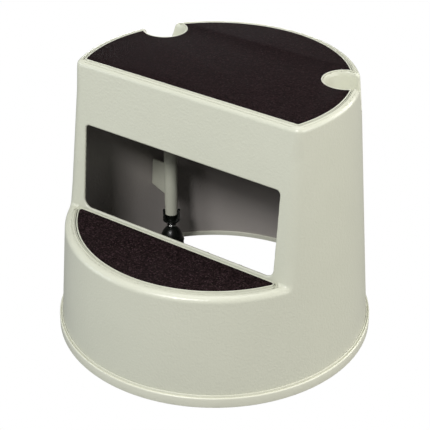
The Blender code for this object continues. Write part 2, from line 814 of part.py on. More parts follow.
def make_caster(name, angle, finishes):
    a = radians(angle)
    place = add_empty(f"{name}_place", (CASTER_CIRCLE * cos(a), CASTER_CIRCLE * sin(a), 0.0), a)
    pivot = add_empty(f"{name}_pivot", (0.0, 0.0, 0.0), SWIVEL_REST - a, place)
    make_tower(name, place, finishes["shell"])
    make_tower_screws(name, place, finishes["zinc"])
    make_spring(name, place, finishes["zinc"])
    make_carrier(name, place, finishes["black"])
    make_stem(name, place, finishes["steel"])
    make_washer(name, place, finishes["steel"])
    make_hood(name, pivot, finishes["black"])
    make_axle(name, pivot, finishes["steel"])
    make_wheels(name, pivot, finishes["wheel"])


def main():
    clear_scene()
    finishes = {
        "shell": material("shell_plastic", (0.53, 0.55, 0.45), 0.42),
        "mat": material("grit_mat", (0.022, 0.016, 0.018), 0.9),
        "ring": material("base_ring_vinyl", (0.53, 0.55, 0.45), 0.5),
        "black": material("black_nylon", (0.012, 0.012, 0.012), 0.45),
        "wheel": material("wheel_nylon", (0.02, 0.02, 0.02), 0.55),
        "steel": material("bright_steel", (0.62, 0.62, 0.60), 0.25, 1.0),
        "zinc": material("zinc_plate", (0.50, 0.50, 0.48), 0.35, 1.0),
    }
    make_shell(finishes["shell"])
    make_mats(finishes["mat"])
    make_base_ring(finishes["ring"])
    for name, angle in CASTER_ANGLES.items():
        make_caster(name, angle, finishes)


main()
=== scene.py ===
"""Looks of the rolling two-step stool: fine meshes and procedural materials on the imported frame."""

from math import acos, atan, atan2, cos, pi, radians, sin, sqrt, tan

import bpy
import numpy as np
from mathutils import Matrix, Vector


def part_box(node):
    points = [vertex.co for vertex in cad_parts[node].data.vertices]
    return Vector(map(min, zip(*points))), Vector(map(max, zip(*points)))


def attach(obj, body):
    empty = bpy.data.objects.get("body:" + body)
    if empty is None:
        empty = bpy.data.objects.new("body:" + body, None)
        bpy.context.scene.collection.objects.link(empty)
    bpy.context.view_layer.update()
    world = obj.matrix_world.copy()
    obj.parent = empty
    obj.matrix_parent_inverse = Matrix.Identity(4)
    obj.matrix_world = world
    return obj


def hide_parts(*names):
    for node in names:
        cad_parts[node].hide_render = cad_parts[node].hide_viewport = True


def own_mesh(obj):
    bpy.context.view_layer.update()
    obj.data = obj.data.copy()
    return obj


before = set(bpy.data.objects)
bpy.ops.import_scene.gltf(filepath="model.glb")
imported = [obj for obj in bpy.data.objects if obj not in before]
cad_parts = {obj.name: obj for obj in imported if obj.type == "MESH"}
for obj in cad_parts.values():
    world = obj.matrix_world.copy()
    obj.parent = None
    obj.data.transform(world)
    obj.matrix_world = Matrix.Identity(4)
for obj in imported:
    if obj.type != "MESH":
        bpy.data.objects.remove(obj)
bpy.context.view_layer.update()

MM = 0.001

# Drum, read from the frame where the frame says it
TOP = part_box("body_shell")[1].z
DRUM_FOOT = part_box("body_shell")[0].z
FLOOR_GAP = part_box("base_ring")[0].z
RING_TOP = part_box("base_ring")[1].z
RING_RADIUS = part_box("base_ring")[1].x
TOP_MAT = (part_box("top_tread_mat")[0].z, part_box("top_tread_mat")[1].z)
STEP_MAT = (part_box("step_tread_mat")[0].z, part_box("step_tread_mat")[1].z)
MAT_PROUD = TOP_MAT[1] - TOP
STEP = STEP_MAT[1] - MAT_PROUD
WALL_FOOT_RADIUS = 204.8 * MM
WALL_TAPER = 0.0759
FACE_TOP_OFFSET = 66.9 * MM
FACE_LEAN = 0.1016
WALL = 4 * MM
DECK = 5 * MM

# Roundings of the moulding
RIM_ROUND = 6.3 * MM
STEP_EDGE_ROUND = 7.5 * MM
CORNER_ROUND = 10.5 * MM
CREASE = 3 * MM
INNER_ROUND = 4 * MM
INNER_CORNER_ROUND = 6.5 * MM
SMALL_FILLET = 1.5 * MM

# Window
WINDOW_HALF = 147.8 * MM
WINDOW_SILL = 160.8 * MM
WINDOW_HEAD = 274.7 * MM
WINDOW_SILL_ROUND = 11 * MM
WINDOW_HEAD_ROUND = 6 * MM
WINDOW_LIP = 1.7 * MM
WINDOW_DEPTH_END = -45 * MM

# Grip pockets
GRIP_CENTRE = 159.4 * MM
GRIP_RADIUS = 26.5 * MM
GRIP_DEPTH = 45 * MM
GRIP_FLOOR = 4 * MM
GRIP_LIP = 4 * MM
GRIP_FLOOR_ROUND = 9 * MM
GRIP_TAPER = 0.13
GRIP_ANGLES = (radians(150), radians(30))

# Ribs and screw bosses under the decks
RIB_HALF = 1.5 * MM
RIB_DEPTH = 12 * MM
RIB_EDGE = 1.2 * MM
TOP_RIBS_Y = (-30 * MM, 0.0, 30 * MM, 128 * MM)
STEP_RIBS_X = (-100 * MM, -50 * MM, 50 * MM, 100 * MM)
SCREW_SPACING = 16 * MM
BOSS_RADIUS = 4.5 * MM
BOSS_HEIGHT = 11.7 * MM
HOLE_RADIUS = 2.3 * MM

# Mats
TOP_MAT_RADIUS = 167.1 * MM
TOP_MAT_FRONT = 56.5 * MM
TOP_MAT_CUTOUT = 29.8 * MM
STEP_MAT_RADIUS = 177 * MM
STEP_MAT_BACK = 88.4 * MM
MAT_CORNER = 2 * MM
STEP_MAT_CORNER = 3 * MM
MAT_EASE = ((0, 0.45 * MM), (-0.15 * MM, 0.15 * MM), (-0.5 * MM, 0))

# The moulded frame round each mat. Distances run out from the mat's edge.
FRAME_START = 0.2 * MM
FRAME_END = 7.4 * MM
FRAME_AT_GRIP = 1.7 * MM
FRAME_AT_SILL = 3.1 * MM
FRAME_LAP = 0.7 * MM
FRAME_UNDERSIDE = -1.9 * MM
FRAME_FLAT = 0.12 * MM
FRAME_FALL = (FRAME_END, 6.5 * MM, 5.6 * MM)
BEAD_END = 1.7 * MM
BEAD_RISE = 0.4 * MM
GROOVES = ((4.3 * MM, 0.5 * MM, 1.2 * MM), (2.45 * MM, 0.6 * MM, 1.5 * MM))
TOP_RIM_START = 4.5 * MM
STEP_RECESS_REACH = 2.5 * MM

# Casters, on the stem axis of each, with outward along +X
CASTERS = {"front": radians(-90), "rear_left": radians(150), "rear_right": radians(30)}
SWIVEL_REST = radians(-54)
TRAIL = 10 * MM
WHEEL_RADIUS = 19.5 * MM
WHEEL_WIDTH = 12 * MM
HOOD_RADIUS = 22.5 * MM
HOOD_SKIN = 2.1 * MM
HOOD_HALF_WIDTH = 17.3 * MM
HOOD_WEB_HALF = 4.3 * MM
HOOD_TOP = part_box("front_hood")[1].z
HOOD_FOOT = 16 * MM
DOME_FOOT = 33 * MM
DOME_CENTRE = 4 * MM
DOME_HALF_LENGTH = 17 * MM
NECK_RADIUS = 6.2 * MM
HUB_RADIUS = 8.5 * MM
STEM_RADIUS = 4 * MM
AXLE_RADIUS = 2.5 * MM
AXLE_HALF = 15.8 * MM
BORE_CLEARANCE = 0.3 * MM
GAP = 0.3 * MM
CARRIER_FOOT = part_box("front_carrier")[0].z
CARRIER_FLOOR = CARRIER_FOOT + 6.9 * MM
CARRIER_LOW = 59 * MM
CARRIER_RADIUS = 12.2 * MM
ARM_INNER = 9.5 * MM
ARM_TOP = 85 * MM
ARM_TURN = radians(66)
ARM_SPREAD_FOOT = radians(62)
ARM_NARROWING = radians(44)
POST_RADIUS = 6.6 * MM
POST_TOP = 95 * MM
STEM_HOLE_TOP = 86.3 * MM
STEM_HOLE_FOOT = 43.5 * MM
TUBE_RADIUS = 9.2 * MM
TUBE_BORE = 7 * MM
CORE_BORE = 6 * MM
SPRING_SEAT = 131 * MM
FLANGE = 4 * MM
FLANGE_HALF_WIDTH = 11 * MM
TRAVEL = 9 * MM
LUG_HEIGHT = 3 * MM
LUG_FOOT = ARM_TOP - 0.5 * MM - LUG_HEIGHT
LUG_HALF_WIDTH = 1.9 * MM
LUG_INNER = 7.4 * MM
LUG_OUTER = 10.5 * MM
SLOT_HALF_WIDTH = 2.4 * MM
SLOT_HALF_HEIGHT = 6.3 * MM
FIN_HALF = 1.5 * MM
FIN_FOOT = 104 * MM
FIN_TOP = 156 * MM
FIN_SLOPE = 6 * MM / (45 * MM)
FIN_SPREAD = radians(15)
CASTER_CIRCLE = 150 * MM

# Grid cell and number of triangles of each shape that is made from a field
MESHING = {
    "drum": (1.95 * MM, 190000),
    "front_tower": (0.85 * MM, 9000),
    "rear_tower": (0.85 * MM, 16000),
    "screw": (0.3 * MM, 3000),
    "carrier": (0.55 * MM, 12000),
    "hood": (0.62 * MM, 24000),
    "wheel": (0.55 * MM, 12000),
}


# Distance fields. A field is negative inside a solid; x, y and z are arrays that broadcast.


def round_max(a, b, r):
    """What a and b share, with a rounded edge."""
    return np.minimum(-r, np.maximum(a, b)) + np.hypot(np.maximum(a + r, 0), np.maximum(b + r, 0))


def round_min(a, b, r):
    """a and b together, with a fillet between them."""
    return np.maximum(r, np.minimum(a, b)) - np.hypot(np.maximum(r - a, 0), np.maximum(r - b, 0))


def cut(a, b, r=0.3 * MM):
    return round_max(a, -b, r)


def span(value, low, high):
    """Negative between low and high."""
    return np.maximum(low - value, value - high)


def rectangle(u, v, half_u, half_v, r):
    qu, qv = np.abs(u) - half_u + r, np.abs(v) - half_v + r
    return np.minimum(np.maximum(qu, qv), 0) + np.hypot(np.maximum(qu, 0), np.maximum(qv, 0)) - r


def slot_shape(u, v, half_length, r):
    """A rounded slot along v."""
    return np.hypot(u, np.maximum(np.abs(v) - half_length, 0)) - r


def turned_to(x, y, angle):
    """The coordinates as seen from a frame turned by angle about Z."""
    return x * cos(angle) + y * sin(angle), y * cos(angle) - x * sin(angle)


# Meshing


def surface_net(field, low, high, cell):
    """Points and quads of a field's zero surface, one point to each grid cell it crosses."""
    axes = [np.arange(a, b + cell, cell, dtype=np.float32) for a, b in zip(low, high)]
    x, y, z = np.meshgrid(*axes, indexing="ij", sparse=True)
    shape = [len(a) for a in axes]
    value = np.ascontiguousarray(np.broadcast_to(field(x, y, z), shape), np.float32)
    inside = value < 0
    steps = [(i, j, k) for i in (0, 1) for j in (0, 1) for k in (0, 1)]
    size = [n - 1 for n in value.shape]

    def corner(array, step):
        return array[tuple(slice(s, s + n) for s, n in zip(step, size))]

    some = np.zeros(size, bool)
    every = np.ones(size, bool)
    for step in steps:
        some |= corner(inside, step)
        every &= corner(inside, step)
    cells = np.argwhere(some & ~every)
    number = np.full(size, -1, np.int32)
    number[tuple(cells.T)] = np.arange(len(cells))
    at = [value[tuple((cells + step).T)] for step in steps]
    total, count = np.zeros((len(cells), 3)), np.zeros(len(cells))
    for a in range(8):
        for axis in range(3):
            if steps[a][axis]:
                continue
            b = a + (4, 2, 1)[axis]
            crossed = (at[a] < 0) != (at[b] < 0)
            share = np.where(crossed, at[a] / np.where(crossed, at[a] - at[b], 1), 0)
            point = np.array(steps[a]) + share[:, None] * np.eye(3)[axis]
            total += point * crossed[:, None]
            count += crossed
    points = np.array(low) + (cells + total / count[:, None]) * cell
    quads = []
    for axis in range(3):
        u, v = (axis + 1) % 3, (axis + 2) % 3
        first = [slice(1, n) for n in size]
        first[axis] = slice(0, size[axis])
        second = list(first)
        second[axis] = slice(1, size[axis] + 1)
        low_in, high_in = inside[tuple(first)], inside[tuple(second)]
        for flip, crossing in ((False, low_in & ~high_in), (True, ~low_in & high_in)):
            base = np.argwhere(crossing)
            base[:, u] += 1
            base[:, v] += 1
            ring = []
            for du, dv in ((1, 1), (0, 1), (0, 0), (1, 0)):
                place = base.copy()
                place[:, u] -= du
                place[:, v] -= dv
                ring.append(number[tuple(place.T)])
            quads.append(np.stack(ring[::-1] if flip else ring, 1))
    return points, np.concatenate(quads)


def gradient(field, points, reach=0.02 * MM):
    columns = []
    for axis in range(3):
        step = np.zeros(3)
        step[axis] = reach
        ahead, behind = (points + step).T, (points - step).T
        columns.append((field(*ahead) - field(*behind)) / (2 * reach))
    return np.stack(columns, 1)


def settle(field, points, rounds=3, most=0.5 * MM):
    """Moves points onto the zero surface, and returns them with their normals."""
    for _ in range(rounds):
        slope = gradient(field, points)
        push = field(*points.T)[:, None] * slope / np.maximum((slope**2).sum(1), 1e-6)[:, None]
        length = np.linalg.norm(push, axis=1, keepdims=True)
        points = points - push * np.minimum(1, most / np.maximum(length, 1e-12))
    slope = gradient(field, points, 0.25 * MM)
    return points, slope / np.maximum(np.linalg.norm(slope, axis=1, keepdims=True), 1e-9)


def mesh_from(name, points, faces):
    mesh = bpy.data.meshes.new(name)
    faces = np.asarray(faces, np.int32)
    mesh.vertices.add(len(points))
    mesh.vertices.foreach_set("co", np.asarray(points, np.float32).ravel())
    mesh.loops.add(faces.size)
    mesh.loops.foreach_set("vertex_index", faces.ravel())
    mesh.polygons.add(len(faces))
    starts = np.arange(0, faces.size, faces.shape[1], dtype=np.int32)
    mesh.polygons.foreach_set("loop_start", starts)
    mesh.update(calc_edges=True)
    mesh.validate()
    return mesh


def arrays_of(mesh):
    mesh.calc_loop_triangles()
    points = np.empty(len(mesh.vertices) * 3, np.float32)
    faces = np.empty(len(mesh.loop_triangles) * 3, np.int32)
    mesh.vertices.foreach_get("co", points)
    mesh.loop_triangles.foreach_get("vertices", faces)
    return points.reshape(-1, 3).astype(float), faces.reshape(-1, 3)


def thinned(points, faces, target):
    """The same surface with about the target number of triangles."""
    mesh = mesh_from("fine", points, faces)
    if len(faces) * 2 <= target:
        return arrays_of(mesh)
    obj = bpy.data.objects.new("thinning", mesh)
    bpy.context.scene.collection.objects.link(obj)
    step = obj.modifiers.new("thin", "DECIMATE")
    step.ratio = target / (len(faces) * 2)
    result = obj.evaluated_get(bpy.context.evaluated_depsgraph_get()).to_mesh()
    found = arrays_of(result)
    bpy.data.objects.remove(obj)
    return found


def polygonised(field, low, high, cell, target):
    """Points, triangles and normals of a field's zero surface."""
    points, quads = surface_net(field, low, high, cell)
    points, _ = settle(field, points, 2, cell)
    points, faces = thinned(points, quads, target)
    points, normals = settle(field, points, 2, cell / 2)
    return points, faces, normals


def add_piece(name, made, body, node, finish, turn=0.0, centre=(0.0, 0.0)):
    """A piece that rides on a body and stands for a CAD node, or for none.

    made is (points, faces, normals), where the normals may be None.
    """
    points, faces, normals = made
    spin = np.array(Matrix.Rotation(turn, 3, "Z"))
    placed = np.asarray(points) @ spin.T + np.array((*centre, 0.0))
    mesh = mesh_from(name, placed, faces)
    mesh.shade_smooth()
    if normals is None:
        mesh.set_sharp_from_angle(angle=radians(32))
    else:
        mesh.normals_split_custom_set_from_vertices(np.asarray(normals) @ spin.T)
    mesh.materials.append(finish)
    obj = bpy.data.objects.new(name, mesh)
    bpy.context.scene.collection.objects.link(obj)
    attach(obj, body)
    if node:
        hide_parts(node)
    return obj


def turned(profile, segments, closed=False):
    """Points and quads of a profile of (radius, height) turned about Z. Radius 0 is a pole."""
    angles = np.arange(segments) * 2 * pi / segments
    points = [(r * cos(a), r * sin(a), z) for r, z in profile for a in angles]
    faces = []
    rows = len(profile)
    for row in range(rows if closed else rows - 1):
        low, high = row * segments, (row + 1) % rows * segments
        for i in range(segments):
            j = (i + 1) % segments
            faces.append((low + i, low + j, high + j, high + i))
    return np.array(points), np.array(faces), None


def rounded_profile(corners, steps=4):
    """A closed outline of (u, v, radius) corners, each rounded by its radius."""
    made = []
    count = len(corners)
    for i, (u, v, r) in enumerate(corners):
        here = Vector((u, v))
        before = Vector(corners[i - 1][:2]) - here
        after = Vector(corners[(i + 1) % count][:2]) - here
        if r <= 0:
            made.append(tuple(here))
            continue
        before.normalize()
        after.normalize()
        half = before.angle(after) / 2
        middle = here + (before + after).normalized() * (r / sin(half))
        start = here + before * (r / tan(half)) - middle
        end = here + after * (r / tan(half)) - middle
        turn = atan2(start.x * end.y - start.y * end.x, start.dot(end))
        for step in range(steps + 1):
            made.append(tuple(middle + Matrix.Rotation(turn * step / steps, 2) @ start))
    return made


def across(made):
    """Turns a piece made about Z so that its axis is the wheels' axle."""
    points, faces, normals = made
    spin = np.array(Matrix.Rotation(-pi / 2, 3, "X"))
    points = np.asarray(points) @ spin.T + np.array((TRAIL, 0.0, WHEEL_RADIUS))
    return points, faces, None if normals is None else normals @ spin.T


def arc(centre, radius, start, end, steps):
    angles = [start + (end - start) * i / steps for i in range(steps + 1)]
    return [(centre[0] + radius * cos(a), centre[1] + radius * sin(a)) for a in angles]


def lofted(rings, looped=False):
    """Points and triangles of a skin through rings of equal length. Looped, it closes on itself."""
    count, rows = len(rings[0]), len(rings)
    points = np.array([point for ring in rings for point in ring])
    faces = []
    for row in range(rows if looped else rows - 1):
        low, high = row * count, (row + 1) % rows * count
        for i in range(count):
            j = (i + 1) % count
            faces += [(low + i, low + j, high + j), (low + i, high + j, high + i)]
    return points, faces


# The drum


def wall_radius(z):
    return WALL_FOOT_RADIUS - WALL_TAPER * (z - FLOOR_GAP)


def wall_distance(x, y, z):
    return (np.hypot(x, y) - wall_radius(z)) * cos(atan(WALL_TAPER))


def face_distance(y, z):
    """How far a point is in front of the leaning front face."""
    return (-y - FACE_TOP_OFFSET - FACE_LEAN * (TOP - z)) * cos(atan(FACE_LEAN))


def drum_outside(x, y, z):
    heights = (STEP, STEP + 30 * MM, TOP - 40 * MM, TOP - 12 * MM)
    edge = np.interp(z, heights, (STEP_EDGE_ROUND, CORNER_ROUND, CORNER_ROUND, RIM_ROUND))
    front = round_min(face_distance(y, z), z - STEP, CREASE)
    return round_max(wall_distance(x, y, z), round_max(front, z - TOP, RIM_ROUND), edge)


def drum_inside(x, y, z):
    front = round_min(face_distance(y, z) + WALL, z - STEP + DECK, CREASE + WALL)
    decks = round_max(front, z - TOP + DECK, INNER_ROUND)
    edge = np.interp(z, (STEP, STEP + 20 * MM), (INNER_ROUND, INNER_CORNER_ROUND))
    return round_max(wall_distance(x, y, z) + WALL, decks, edge)


def grip_places():
    return [(GRIP_CENTRE * cos(a), GRIP_CENTRE * sin(a)) for a in GRIP_ANGLES]


def tower_top(name):
    under = STEP - DECK if name == "front" else TOP - GRIP_DEPTH - GRIP_FLOOR
    return under - BOSS_HEIGHT - GAP


def caster_place(name):
    return CASTER_CIRCLE * cos(CASTERS[name]), CASTER_CIRCLE * sin(CASTERS[name])


def without_ribs(cavity, x, y, z):
    """Takes the ribs, pocket walls and screw bosses out of the drum's cavity."""
    for rib_y in TOP_RIBS_Y:
        rib = np.maximum(np.abs(y - rib_y) - RIB_HALF, TOP - DECK - RIB_DEPTH - z)
        cavity = cut(cavity, rib, RIB_EDGE)
    for rib_x in STEP_RIBS_X:
        rib = np.maximum(np.abs(x - rib_x) - RIB_HALF, STEP - DECK - RIB_DEPTH - z)
        rib = np.maximum(rib, -face_distance(y, z) - WALL)
        cavity = cut(cavity, rib, RIB_EDGE)
    for px, py in grip_places():
        block = np.hypot(x - px, y - py) - GRIP_RADIUS - WALL
        block = round_max(block, TOP - GRIP_DEPTH - GRIP_FLOOR - z, SMALL_FILLET)
        cavity = cut(cavity, block, SMALL_FILLET)
    for name in CASTERS:
        cx, cy = caster_place(name)
        u, v = turned_to(x - cx, y - cy, CASTERS[name])
        boss = np.hypot(u, np.abs(v) - SCREW_SPACING) - BOSS_RADIUS
        foot = tower_top(name) + GAP
        boss = np.maximum(boss, span(z, foot, foot + BOSS_HEIGHT + WALL))
        cavity = cut(cavity, boss, 1 * MM)
    return cavity


def window(x, y, z):
    middle, half = (WINDOW_SILL + WINDOW_HEAD) / 2, (WINDOW_HEAD - WINDOW_SILL) / 2
    low = rectangle(x, z - middle, WINDOW_HALF, half, WINDOW_SILL_ROUND)
    high = rectangle(x, z - middle, WINDOW_HALF, half, WINDOW_HEAD_ROUND)
    return np.maximum(np.where(z < middle, low, high), y - WINDOW_DEPTH_END)


def top_mat_shape(x, y, grow):
    edge = np.hypot(x, y) - TOP_MAT_RADIUS - grow
    shape = round_max(edge, -y - TOP_MAT_FRONT - grow, MAT_CORNER + grow)
    for px, py in grip_places():
        hole = np.hypot(x - px, y - py) - TOP_MAT_CUTOUT + FRAME_AT_GRIP - FRAME_LAP
        shape = cut(shape, hole, 1 * MM)
    return shape


def step_mat_shape(x, y, grow):
    back = y + STEP_MAT_BACK - FRAME_AT_SILL + FRAME_LAP
    return round_max(np.hypot(x, y) - STEP_MAT_RADIUS - grow, back, STEP_MAT_CORNER + grow)


def drum(x, y, z):
    cavity = without_ribs(drum_inside(x, y, z), x, y, z)
    body = np.maximum(np.maximum(drum_outside(x, y, z), -cavity), DRUM_FOOT - z)
    body = cut(body, window(x, y, z), WINDOW_LIP)
    reach = FRAME_END - FRAME_LAP
    body = cut(body, np.maximum(top_mat_shape(x, y, reach), TOP_MAT[0] - GAP - z))
    step_recess = np.maximum(step_mat_shape(x, y, reach), STEP_MAT[0] - GAP - z)
    body = cut(body, np.maximum(step_recess, z - STEP - STEP_RECESS_REACH))
    for px, py in grip_places():
        pocket = np.hypot(x - px, y - py) - GRIP_RADIUS + GRIP_TAPER * (TOP - z)
        pocket = round_max(pocket, TOP - GRIP_DEPTH - z, GRIP_FLOOR_ROUND)
        body = cut(body, pocket, GRIP_LIP)
    return body


def build_drum(finish, inside):
    """The moulding. Its inner faces take a darker, browner copy of the shell plastic, which is
    painted shade for the dim interior.
    """
    reach = WALL_FOOT_RADIUS + 2 * MM
    low, high = (-reach, -reach, DRUM_FOOT - 2 * MM), (reach, reach, TOP + 2 * MM)
    made = polygonised(drum, low, high, *MESHING["drum"])
    piece = add_piece("moulded_body", made, "drum", "body_shell", finish)
    piece.data.materials.append(inside)
    points, faces, _ = made
    middles = points[faces].mean(1).T
    # Faces on the cavity side take the second slot: the darker copy of the plastic, painted shade.
    painted_shade_faces = without_ribs(drum_inside(*middles), *middles) < 0.5 * MM
    piece.data.polygons.foreach_set("material_index", painted_shade_faces.astype(np.int32))


def top_mat_outline(grow):
    """The top mat's outline, anticlockwise from its right front corner, cut out at each pocket."""
    radius, chord, corner = TOP_MAT_RADIUS + grow, TOP_MAT_FRONT + grow, MAT_CORNER + grow
    cutout = TOP_MAT_CUTOUT - min(grow, FRAME_AT_GRIP)
    x = sqrt((radius - corner) ** 2 - (chord - corner) ** 2)
    tip = atan2(corner - chord, x)
    half = acos((radius**2 + GRIP_CENTRE**2 - cutout**2) / (2 * radius * GRIP_CENTRE))
    swing = acos((radius * cos(half) - GRIP_CENTRE) / cutout)
    left, right = GRIP_ANGLES
    left_place, right_place = grip_places()
    few, many, bow = 20, 60, 40
    outline = arc((0, 0), radius, tip, right - half, few)
    outline += arc(right_place, cutout, right - swing, right - 2 * pi + swing, bow)[1:-1]
    outline += arc((0, 0), radius, right + half, left - half, many)
    outline += arc(left_place, cutout, left - swing, left - 2 * pi + swing, bow)[1:-1]
    outline += arc((0, 0), radius, left + half, pi - tip, few)
    outline += arc((-x, corner - chord), corner, pi - tip, 1.5 * pi, 6)[1:]
    outline += arc((x, corner - chord), corner, -pi / 2, tip, 6)[:-1]
    return outline


def step_mat_outline(grow):
    radius, corner = STEP_MAT_RADIUS + grow, STEP_MAT_CORNER + grow
    back = STEP_MAT_BACK - min(grow, FRAME_AT_SILL)
    x = sqrt((radius - corner) ** 2 - (back + corner) ** 2)
    tip = atan2(-(back + corner), x)
    outline = arc((x, -(back + corner)), corner, tip, pi / 2, 6)
    outline += arc((-x, -(back + corner)), corner, pi / 2, pi - tip, 6)
    outline += arc((0, 0), radius, pi - tip, 2 * pi + tip, 90)[1:-1]
    return outline


def at_height(outline, z):
    return [(x, y, z) for x, y in outline]


def mat_mesh(outline, low, high):
    """A thin mat with an eased top edge. Its flat faces are fans of a filled outline."""
    steps = [(0, low)] + [(grow, high - drop) for grow, drop in MAT_EASE]
    rings = [at_height(outline(grow), z) for grow, z in steps]
    points, faces = lofted(rings)
    count = len(rings[0])
    mesh = bpy.data.meshes.new("mat")
    bottom = list(range(count))[::-1]
    top = [i + count * (len(rings) - 1) for i in range(count)]
    mesh.from_pydata([tuple(p) for p in points], [], [*faces, bottom, top])
    return (*arrays_of(mesh), None)


def mat_frame_mesh(outline, deck, rim_start):
    """A mat's moulded frame: a low bead and fine grooves, then the deck and its rounded rim."""
    width = BEAD_END - FRAME_START
    section = [(FRAME_START, FRAME_UNDERSIDE), (FRAME_END, FRAME_UNDERSIDE)]
    for grow in FRAME_FALL:
        fall = RIM_ROUND - sqrt(RIM_ROUND**2 - max(grow - rim_start, 0) ** 2)
        section.append((grow, FRAME_FLAT - fall))
    for groove, half, depth in GROOVES:
        section += [(groove + half, FRAME_FLAT), (groove + 0.8 * half, -depth)]
        section += [(groove - 0.8 * half, -depth), (groove - half, FRAME_FLAT)]
    for angle in np.linspace(0.2, pi, 8):
        section.append((FRAME_START + width * (0.5 + 0.5 * cos(angle)), BEAD_RISE * sin(angle)))
    rings = [at_height(outline(grow), deck + rise) for grow, rise in section]
    points, faces = lofted(rings, looped=True)
    return points, np.array(faces)[:, ::-1], None


def build_mats(finishes):
    for name, outline, heights, deck, rim_start in (
        ("top", top_mat_outline, TOP_MAT, TOP, TOP_RIM_START),
        ("step", step_mat_outline, STEP_MAT, STEP, FRAME_END),
    ):
        grit = finishes[f"{name}_grit"]
        mat = mat_mesh(outline, *heights)
        add_piece(f"{name}_grit_mat", mat, "drum", f"{name}_tread_mat", grit)
        edge = mat_frame_mesh(outline, deck, rim_start)
        add_piece(f"{name}_mat_frame", edge, "drum", None, finishes["shell"])


def build_base_ring(finish):
    """A vinyl channel over the wall's foot: a grooved floor face, and a fine line at its lip."""
    foot, seat, leg_top = FLOOR_GAP, FLOOR_GAP + 2.7 * MM, FLOOR_GAP + 7 * MM
    lip = wall_radius(RING_TOP) + GAP
    inner = wall_radius(seat) - WALL - GAP
    leg = inner - 2.4 * MM
    crisp, soft = 0.2 * MM, 0.8 * MM
    groove_top, line_foot = foot + 0.5 * MM, RING_TOP - 3.9 * MM
    corners = [
        (leg, foot, soft),
        (RING_RADIUS - 5.4 * MM, foot, crisp),
        (RING_RADIUS - 5.0 * MM, groove_top, crisp),
        (RING_RADIUS - 4.2 * MM, groove_top, crisp),
        (RING_RADIUS - 3.8 * MM, foot, crisp),
        (RING_RADIUS, foot, 1.0 * MM),
        (RING_RADIUS, RING_TOP - 3.0 * MM, 1.7 * MM),
        (lip + 2.3 * MM, RING_TOP - 2.2 * MM, 0.3 * MM),
        (lip + 2.0 * MM, line_foot, crisp),
        (lip + 1.2 * MM, line_foot, crisp),
        (lip + 1.0 * MM, RING_TOP, 0.45 * MM),
        (lip, RING_TOP, crisp),
        (wall_radius(seat) + GAP, seat, 0),
        (inner, seat, 0),
        (wall_radius(leg_top) - WALL - GAP, leg_top, 0.5 * MM),
        (leg, leg_top, soft),
    ]
    made = turned(rounded_profile(corners), 288, closed=True)
    add_piece("base_bumper_ring", made, "drum", "base_ring", finish)


# Casters


def tower_field(name):
    """The moulded spring housing: tube, flange and, on the rear ones, two gussets to the wall."""
    top, foot = tower_top(name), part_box(f"{name}_tower")[0].z
    tall = name != "front"

    def field(x, y, z):
        radius = np.hypot(x, y)
        tube = round_max(radius - TUBE_RADIUS, np.maximum(foot - z, z - top), 0.5 * MM)
        flange = slot_shape(x, y, SCREW_SPACING, FLANGE_HALF_WIDTH)
        flange = round_max(flange, span(z, top - FLANGE, top), 0.7 * MM)
        body = round_min(tube, flange, 3 * MM)
        if tall:
            for turn in (-FIN_SPREAD, FIN_SPREAD):
                u, v = turned_to(x, y, turn)
                limit = wall_distance(x + CASTER_CIRCLE, y, z) + WALL + 1 * MM
                ends = np.maximum(FIN_FOOT + FIN_SLOPE * u - z, z - FIN_TOP + FIN_SLOPE * u)
                ends = np.maximum(np.maximum(ends, limit), -u)
                fin = round_max(np.abs(v) - FIN_HALF, ends, 0.6 * MM)
                body = round_min(body, fin, 1.5 * MM)
            core = np.maximum(radius - CORE_BORE, SPRING_SEAT + FLANGE - z)
            body = cut(body, core, 0.5 * MM)
        body = cut(body, np.maximum(radius - TUBE_BORE, z - SPRING_SEAT), 0.5 * MM)
        screws = np.hypot(x, np.abs(y) - SCREW_SPACING) - HOLE_RADIUS
        body = cut(body, np.maximum(screws, top - 10 * MM - z), 0.3 * MM)
        _, v = turned_to(x, y, ARM_TURN)
        above = z - LUG_FOOT - (LUG_HEIGHT + TRAVEL) / 2
        slot = rectangle(v, above, SLOT_HALF_WIDTH, SLOT_HALF_HEIGHT, 1 * MM)
        return cut(body, slot, 0.4 * MM)

    return field


def carrier_field(x, y, z):
    """The black plunger cup, whose two arms swell out of its rim and ride beside the tube."""
    radius, foot = np.hypot(x, y), CARRIER_FOOT
    u, v = turned_to(x, y, ARM_TURN)
    heights = (foot, foot + 1 * MM, CARRIER_FLOOR - 1 * MM)
    cone = radius - np.interp(z, heights, (6.0 * MM, 6.4 * MM, CARRIER_RADIUS))
    cup = round_max(cone * 0.75, span(z, foot, CARRIER_FLOOR), 0.5 * MM)
    share = np.clip((z - CARRIER_FLOOR) / (ARM_TOP - CARRIER_FLOOR), 0, 1)
    spread = ARM_SPREAD_FOOT - ARM_NARROWING * share**0.7
    sector = (np.arctan2(np.abs(v), np.abs(u)) - spread) * 10 * MM
    arm = np.maximum(ARM_INNER - radius, span(z, foot + 5 * MM, ARM_TOP))
    arm = round_max(radius - CARRIER_RADIUS, arm, 0.5 * MM)
    arm = round_max(arm, sector, 0.6 * MM)
    body = round_min(cup, arm, 0.8 * MM)
    post = round_max(radius - POST_RADIUS, span(z, foot + 2 * MM, POST_TOP), 0.6 * MM)
    body = round_min(body, post, 0.4 * MM)
    lug = np.maximum(span(z, LUG_FOOT, LUG_FOOT + LUG_HEIGHT), LUG_INNER - radius)
    lug = np.maximum(np.abs(v) - LUG_HALF_WIDTH, lug)
    body = np.minimum(body, np.maximum(lug, radius - LUG_OUTER))
    bore = np.maximum(radius - STEM_RADIUS - BORE_CLEARANCE, z - STEM_HOLE_TOP)
    return cut(body, bore, 0.4 * MM)


